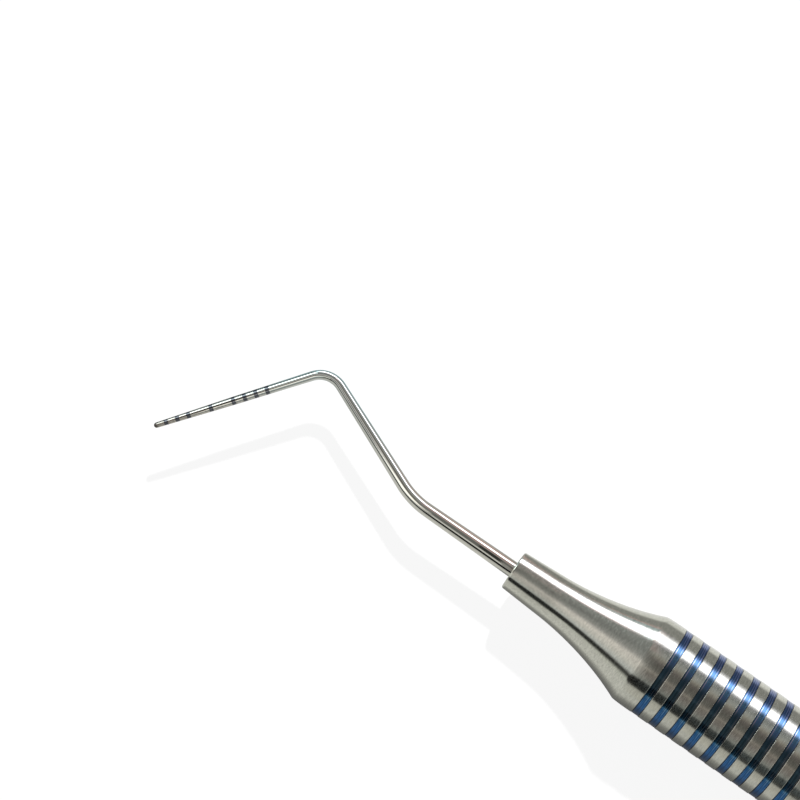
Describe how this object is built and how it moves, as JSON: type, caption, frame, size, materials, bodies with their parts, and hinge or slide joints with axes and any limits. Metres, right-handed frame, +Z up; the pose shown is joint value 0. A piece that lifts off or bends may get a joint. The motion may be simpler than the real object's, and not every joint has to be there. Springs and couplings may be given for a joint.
{
  "type": "periodontal probe",
  "caption": "Periodontal probe: round tapered tip with black depth marks on a twice-bent shank, fixed in a hollow round handle with blue ring grooves.",
  "frame": {"origin": "on the supporting surface, under the middle of the whole instrument's box", "axes": "+X along the handle from the tip to the tail, +Y to the side that the first bend stands out to, +Z up"},
  "size_m": [0.1648, 0.0124, 0.0082],
  "materials": {
    "polished_steel": "polished stainless steel",
    "satin_steel": "stainless steel with fine turning lines round the axis",
    "blue_band": "bright metallic blue",
    "black_mark": "smooth black fill, level with the steel"
  },
  "bodies": {
    "root": {"working_end": "polished_steel", "depth_mark_01_mm": "black_mark", "depth_mark_02_mm": "black_mark", "depth_mark_03_mm": "black_mark", "depth_mark_05_mm": "black_mark", "depth_mark_07_mm": "black_mark", "depth_mark_08_mm": "black_mark", "depth_mark_09_mm": "black_mark", "depth_mark_10_mm": "black_mark", "nose_cone": "satin_steel", "handle_tube": "satin_steel", "tail_cap": "satin_steel", "blue_band_01": "blue_band", "blue_band_02": "blue_band", "blue_band_03": "blue_band", "blue_band_04": "blue_band", "blue_band_05": "blue_band", "blue_band_06": "blue_band", "blue_band_07": "blue_band", "blue_band_08": "blue_band", "blue_band_09": "blue_band", "blue_band_10": "blue_band", "blue_band_11": "blue_band", "blue_band_12": "blue_band", "blue_band_13": "blue_band", "blue_band_14": "blue_band", "blue_band_15": "blue_band", "blue_band_16": "blue_band", "blue_band_17": "blue_band", "blue_band_18": "blue_band", "blue_band_19": "blue_band", "blue_band_20": "blue_band", "blue_band_21": "blue_band", "blue_band_22": "blue_band", "blue_band_23": "blue_band", "blue_band_24": "blue_band"}
  },
  "joints": []
}
